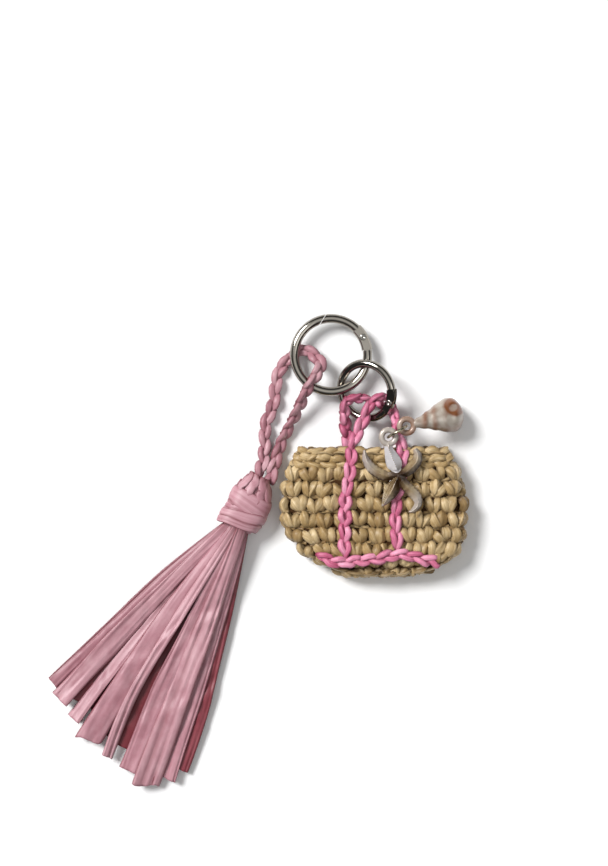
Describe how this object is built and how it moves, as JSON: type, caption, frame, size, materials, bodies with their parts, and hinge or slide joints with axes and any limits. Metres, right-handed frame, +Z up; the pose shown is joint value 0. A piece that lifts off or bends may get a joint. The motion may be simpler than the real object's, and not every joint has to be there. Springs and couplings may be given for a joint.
{
  "type": "bag charm keychain",
  "caption": "Bag-charm keychain: linked spring-gate rings carrying a ribbon tassel, a small crocheted tote, and starfish and shell charms on a jump ring.",
  "frame": {"origin": "centre of the main ring, in the middle of its wire", "axes": "+Z up, away from the surface the keychain lies on and along the main ring's axis; +Y from the tassel's cut ends towards the ring"},
  "size_m": [0.165, 0.1851, 0.019],
  "materials": {
    "ring_metal": "polished dark nickel",
    "rivet_metal": "polished dark nickel, lightly worn",
    "spring_steel": "plain",
    "jump_ring_metal": "antique pale gold",
    "tassel_raffia": "matt paper ribbon, dusty pink",
    "pink_raffia": "satin paper yarn, hot pink",
    "straw_raffia": "matt paper yarn, straw",
    "pearl_cream": "pearl cream with worn gold-beige relief",
    "pearl_grey": "pearl grey with brown bands"
  },
  "bodies": {
    "main_ring": {"main_ring_body": "ring_metal", "main_ring_hinge_pin": "rivet_metal"},
    "main_gate": {"main_ring_gate": "ring_metal", "main_ring_gate_spring": "spring_steel"},
    "link_ring": {"link_ring_body": "ring_metal", "link_ring_hinge_pin": "rivet_metal"},
    "link_gate": {"link_ring_gate": "ring_metal", "link_ring_gate_spring": "spring_steel"},
    "tassel": {"tassel_cord": "tassel_raffia", "tassel_head_core": "tassel_raffia", "tassel_wrap_upper": "tassel_raffia", "tassel_wrap_middle": "tassel_raffia", "tassel_wrap_lower": "tassel_raffia", "tassel_ribbon_under_1": "tassel_raffia", "tassel_ribbon_under_2": "tassel_raffia", "tassel_ribbon_under_3": "tassel_raffia", "tassel_ribbon_under_4": "tassel_raffia", "tassel_ribbon_mid_1": "tassel_raffia", "tassel_ribbon_mid_2": "tassel_raffia", "tassel_ribbon_mid_3": "tassel_raffia", "tassel_ribbon_mid_4": "tassel_raffia", "tassel_ribbon_top_1": "tassel_raffia", "tassel_ribbon_top_2": "tassel_raffia", "tassel_ribbon_top_3": "tassel_raffia", "tassel_ribbon_top_4": "tassel_raffia", "tassel_ribbon_top_5": "tassel_raffia", "tassel_ribbon_top_6": "tassel_raffia"},
    "tote": {"bag_front_wall": "straw_raffia", "bag_back_wall": "straw_raffia", "bag_left_side": "straw_raffia", "bag_base": "straw_raffia", "bag_right_side": "straw_raffia", "bag_front_rim": "straw_raffia", "bag_back_rim": "straw_raffia", "bag_stripe_left": "pink_raffia", "bag_stripe_right": "pink_raffia", "bag_stripe_base": "pink_raffia", "front_handle": "pink_raffia", "back_handle": "pink_raffia", "handle_end_knot": "pink_raffia"},
    "jump_ring": {"charm_jump_ring": "jump_ring_metal"},
    "starfish": {"starfish_charm": "pearl_cream"},
    "shell": {"shell_charm": "pearl_grey"}
  },
  "joints": [
    {"name": "main_gate_hinge", "type": "hinge", "parent": "main_ring", "child": "main_gate", "pos_m": [0.01246, 0.00691, 0], "axis": [0, 0, 1], "range_deg": [0, 30], "stiffness_Nm_per_rad": 0.01, "springref_deg": -17.19},
    {"name": "link_ring_slide", "type": "hinge", "parent": "main_ring", "child": "link_ring", "pos_m": [0, 0, 0], "axis": [0, 0, 1], "range_deg": [-1, 8]},
    {"name": "link_gate_hinge", "type": "hinge", "parent": "link_ring", "child": "link_gate", "pos_m": [0.02293, -0.01851, 0.005], "axis": [0.4494, 0.2192, -0.866], "range_deg": [0, 20], "stiffness_Nm_per_rad": 0.01, "springref_deg": -17.19},
    {"name": "tassel_swing", "type": "hinge", "parent": "main_ring", "child": "tassel", "pos_m": [0, 0, 0], "axis": [0, 0, 1], "range_deg": [-35, 2]},
    {"name": "tote_swing", "type": "hinge", "parent": "link_ring", "child": "tote", "pos_m": [0.015, -0.017, 0], "axis": [0, 0, 1], "range_deg": [-1.5, 6]},
    {"name": "jump_ring_slide", "type": "slide", "parent": "tote", "child": "jump_ring", "axis": [0.124, -0.9923, 0], "range_m": [-0.0005, 0.0018]},
    {"name": "starfish_swing", "type": "hinge", "parent": "jump_ring", "child": "starfish", "pos_m": [0.02206, -0.03188, 0.0097], "axis": [0, 0, 1], "range_deg": [-10, 8]},
    {"name": "shell_swing", "type": "hinge", "parent": "jump_ring", "child": "shell", "pos_m": [0.02906, -0.02768, 0.0097], "axis": [0, 0, 1], "range_deg": [-12, 31]}
  ]
}
